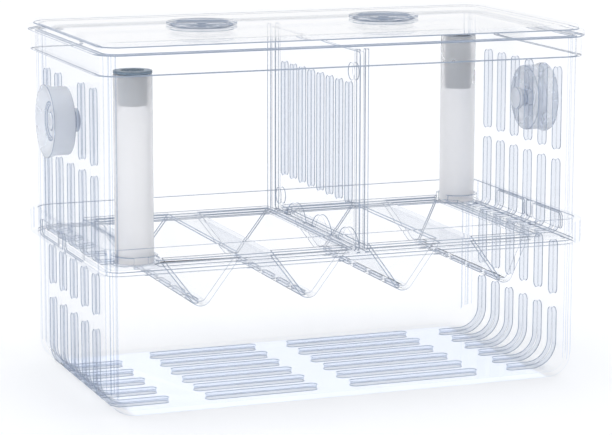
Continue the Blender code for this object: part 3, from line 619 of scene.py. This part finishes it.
for side, end in ((-1, "left"), (1, "right")):
    inner_half, outer_half = HALVES[side]
    far = WELL_FAR[side]
    rim = block((far + 0.9 * mm) / 2, 48.5 * mm, SEAT, SEAT + TRAY_WALL, 2 * mm)
    bmesh.ops.translate(rim, verts=rim.verts,
                        vec=(DIVIDER_X + side * (far + 6.1 * mm) / 2, 0, 0))
    outside, inside, slits, notch = (bmesh.new() for _ in range(4))
    for place, outer in ((WELL_NEAR + 0.6 * mm + inner_half, inner_half),
                         (far - 0.6 * mm - outer_half, outer_half)):
        x = DIVIDER_X + side * place
        add_trough(outside, x, side, inner_half, outer)
        add_trough(inside, x, side, inner_half, outer, TRAY_WALL)
        for y in spread(5, 16.8 * mm):
            add_slot(slits, (x, y, SEAT - DROP + TRAY_WALL / 2), 1.8 * mm, 12 * mm,
                     TRAY_WALL + 2 * OVER, ON_Y)
    add_drum(notch, 9.2 * mm, UPPER_FLOOR, SEAT + TRAY_WALL + OVER,
             (TUBE_X[side], side * TUBE_Y, 0))
    tray = shape("tray", rim, [("UNION", outside), ("DIFFERENCE", inside),
                               ("DIFFERENCE", slits), ("DIFFERENCE", notch)])
    soften(tray, 0.3 * mm, 2, 34)
    piece(f"trough_tray_{end}", tray, f"v_tray_{end}",
          *clear_set(f"clear_tray_{end}", 6.0 + side), smooth=40)

# %% [markdown]
# ## The divider
# The divider is a plain panel that slides between the ribs. It has eight slots, a hole near its
# upper front corner and one near its lower back corner, and three low arches in its bottom edge.

# %% Divider
DIVIDER_TOP = 135.2 * mm
panel = block((DIVIDER_TOP - SEAT) / 2, 49.7 * mm, -1 * mm, 1 * mm, 2 * mm)
bmesh.ops.rotate(panel, verts=panel.verts, cent=(0, 0, 0), matrix=ON_X)
bmesh.ops.translate(panel, verts=panel.verts, vec=(DIVIDER_X, 0, (DIVIDER_TOP + SEAT) / 2))
openings = bmesh.new()
for y in spread(8, 10.2 * mm):
    add_slot(openings, (DIVIDER_X, y, 98.25 * mm), 3.4 * mm, 47.5 * mm, 4 * mm, ON_X)
for y, z in ((-40.5 * mm, 126.7 * mm), (40.5 * mm, 64.9 * mm)):
    add_drum(openings, 3.3 * mm, -2 * mm, 2 * mm, (DIVIDER_X, y, z), ON_X)
arch_radius = ((9 * mm) ** 2 + (6.5 * mm) ** 2) / (13 * mm)
for y in spread(3, 29 * mm, -7 * mm):
    add_drum(openings, arch_radius, -2 * mm, 2 * mm,
             (DIVIDER_X, y, SEAT + 6.5 * mm - arch_radius), ON_X)
divider = shape("divider", panel, [("DIFFERENCE", openings)])
soften(divider, 0.25 * mm)
piece("slotted_divider", divider, "divider", *clear_set("clear_divider", 9.7))

# %% [markdown]
# ## The lid
# The lid is a plate with a proud rim, a raised panel set in from it and a skirt that hangs outside
# the box. Two round ports let food in.

# %% Lid
LID_BASE, RIM_TOP, LID_TOP = 138.0 * mm, 140.7 * mm, 142.5 * mm
LID_WALL = 1.9 * mm
PORTS = {-1: -42.9 * mm, 1: 34.5 * mm}
ports = bmesh.new()
for x in PORTS.values():
    add_drum(ports, 12.3 * mm, LID_BASE, LID_TOP + OVER, (x, 0, 0))


def lid_block(out, low, high, top=0.0):
    """A block that stands out from the box's walls by the same distance all round."""
    return block(HALF_X + out, HALF_Y + out, low, high, ROUND + out, top=top)


steps = [
    ("UNION", lid_block(GAP + LID_WALL, LID_BASE - 8 * mm, LID_BASE + 1.3 * mm)),
    ("UNION", lid_block(0.8 * mm, LID_BASE + 1.3 * mm, LID_TOP, 1 * mm)),
    ("DIFFERENCE", lid_block(GAP, LID_BASE - 8 * mm - OVER, LID_BASE)),
    ("DIFFERENCE", lid_block(0.8 * mm - LID_WALL, LID_BASE - OVER, LID_TOP - LID_WALL)),
    ("DIFFERENCE", ports),
]
lid = shape("lid_blank", lid_block(3.2 * mm, LID_BASE, RIM_TOP, 1 * mm), steps)
soften(lid, 0.3 * mm)
piece("lid_plate", lid, "lid", *clear_set("clear_lid", 12.2, 0.9, LID_TINTS))

# %% [markdown]
# ## Turned pieces
# Feed caps, float tubes, stoppers and suction cups are all round. Each is a chain of points down
# one side, spun once round its axis. The rings where it turns a corner are then softened like the
# edges of the moulded pieces and take the same kind of painted shade, so they draw the same thin
# line.


# %% Turned pieces
def turned(points, radius=0.25 * mm, steps=72, closed=False):
    """Spins a chain of (radius, height) points round Z and rounds its rings."""
    bm = bmesh.new()
    chain = [bm.verts.new((r, 0, z)) for r, z in points]
    for a, b in zip(chain, chain[1:] + chain[:1] if closed else chain[1:]):
        bm.edges.new((a, b))
    bmesh.ops.spin(bm, geom=bm.verts[:] + bm.edges[:], cent=(0, 0, 0), axis=(0, 0, 1),
                   dvec=(0, 0, 0), angle=2 * pi, steps=steps, use_merge=True)
    bmesh.ops.remove_doubles(bm, verts=bm.verts, dist=0.001 * mm)
    soften(bm, radius, 2, 25)
    return bm


# %% Feed caps
CAP_LEVEL = LID_TOP + GAP
for side, end in ((-1, "left"), (1, "right")):
    top = CAP_LEVEL + 1 * mm
    dish = top - 0.8 * mm
    cap = turned([(2 * mm, dish), (10.8 * mm, dish), (10.8 * mm, top), (14 * mm, top),
                  (14 * mm, CAP_LEVEL), (12 * mm, CAP_LEVEL), (12 * mm, dish - 1.2 * mm),
                  (2 * mm, dish - 1.2 * mm)], closed=True)
    # The wall of the small hole in the middle takes the painted grey-blue edge shade, so the hole
    # shows dark.
    for face in cap.faces:
        if face.calc_center_median().xy.length < 2.3 * mm:
            face.material_index = 1
    bmesh.ops.translate(cap, verts=cap.verts, vec=(PORTS[side], 0, 0))
    piece(f"feed_dish_{end}", cap, f"feed_cap_{end}", *clear_set(f"clear_cap_{end}", 15 + side))


# %% Cloudy sets
def cloudy_set(name, light, dark, ring_shade, roughness, clear, scale, seed):
    """The materials of one cloudy piece: its walls, and painted darker shade on its rounded rings.
    """
    return (cloudy_plastic(name, light, dark, roughness, clear, scale, seed),
            cloudy_plastic(f"{name}_ring", ring_shade, ring_shade, roughness, clear, scale, seed))


# %% Float tubes and stoppers
TUBE_TOP = 129.5 * mm
for side, end, length in ((-1, "front_left", 12 * mm), (1, "back_right", 23 * mm)):
    tube = turned([(0, SEAT + 1.5 * mm), (5.9 * mm, SEAT + 1.5 * mm), (5.9 * mm, TUBE_TOP),
                   (7.4 * mm, TUBE_TOP), (7.4 * mm, SEAT), (0, SEAT)], 0.4 * mm)
    ledge = TUBE_TOP + GAP
    low, high = ledge - length, ledge + 1.2 * mm
    plug = turned([(0, low + 1.4 * mm), (4.4 * mm, low + 1.4 * mm), (4.4 * mm, high),
                   (7.4 * mm, high), (7.4 * mm, ledge), (5.6 * mm, ledge), (5.6 * mm, low),
                   (0, low)])
    for bm in (tube, plug):
        bmesh.ops.translate(bm, verts=bm.verts, vec=(TUBE_X[side], side * TUBE_Y, 0))
    piece(f"tube_{end}", tube, f"float_tube_{end}",
          *cloudy_set(f"frosted_tube_{end}", (0.995, 0.995, 1.0), (0.985, 0.985, 0.995),
                      (0.62, 0.66, 0.75), 0.3, 0.7, 30, 18.0 + side))
    piece(f"stopper_{end}", plug, f"float_plug_{end}",
          *cloudy_set(f"smoky_stopper_{end}", (0.18, 0.25, 0.34), (0.12, 0.19, 0.27),
                      (0.08, 0.13, 0.18), 0.3, 0.1, 60, 21.0 + side))

# %% Suction cups
for side, end in ((-1, "left"), (1, "right")):
    front = GAP + 8.8 * mm
    dish = front - 3.6 * mm
    cup = turned([(0, dish + 1.4 * mm), (3.6 * mm, dish + 1.4 * mm), (4.2 * mm, dish),
                  (6.3 * mm, dish + 0.9 * mm), (6.6 * mm, dish + 1.7 * mm),
                  (7.3 * mm, dish + 1.7 * mm), (7.6 * mm, dish + 1.5 * mm),
                  (12.6 * mm, front), (14.4 * mm, front), (13.4 * mm, front - 3.6 * mm),
                  (13.4 * mm, GAP), (12.0 * mm, GAP), (3.2 * mm, GAP + 2.7 * mm),
                  (3.2 * mm, -2.3 * mm), (4.6 * mm, -2.3 * mm), (4.6 * mm, -3.9 * mm),
                  (0, -3.9 * mm)])
    bmesh.ops.rotate(cup, verts=cup.verts, cent=(0, 0, 0),
                     matrix=Matrix.Rotation(side * radians(90), 3, "Y"))
    bmesh.ops.translate(cup, verts=cup.verts, vec=(side * HALF_X, 0, CUP_Z))
    piece(f"cup_{end}", cup, f"suction_cup_{end}",
          *cloudy_set(f"milky_cup_{end}", (0.91, 0.935, 0.975), (0.85, 0.88, 0.935),
                      (0.42, 0.48, 0.58), 0.25, 0.5, 45, 24.0 + side))

# %% [markdown]
# ## Size of the dressed model
# The dressed model has to fill the same space as the CAD model, so its box is printed.

# %% Size of the dressed model
low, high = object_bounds()
print("visual box in mm:", [round(1000 * c, 1) for c in (*low, *high)])
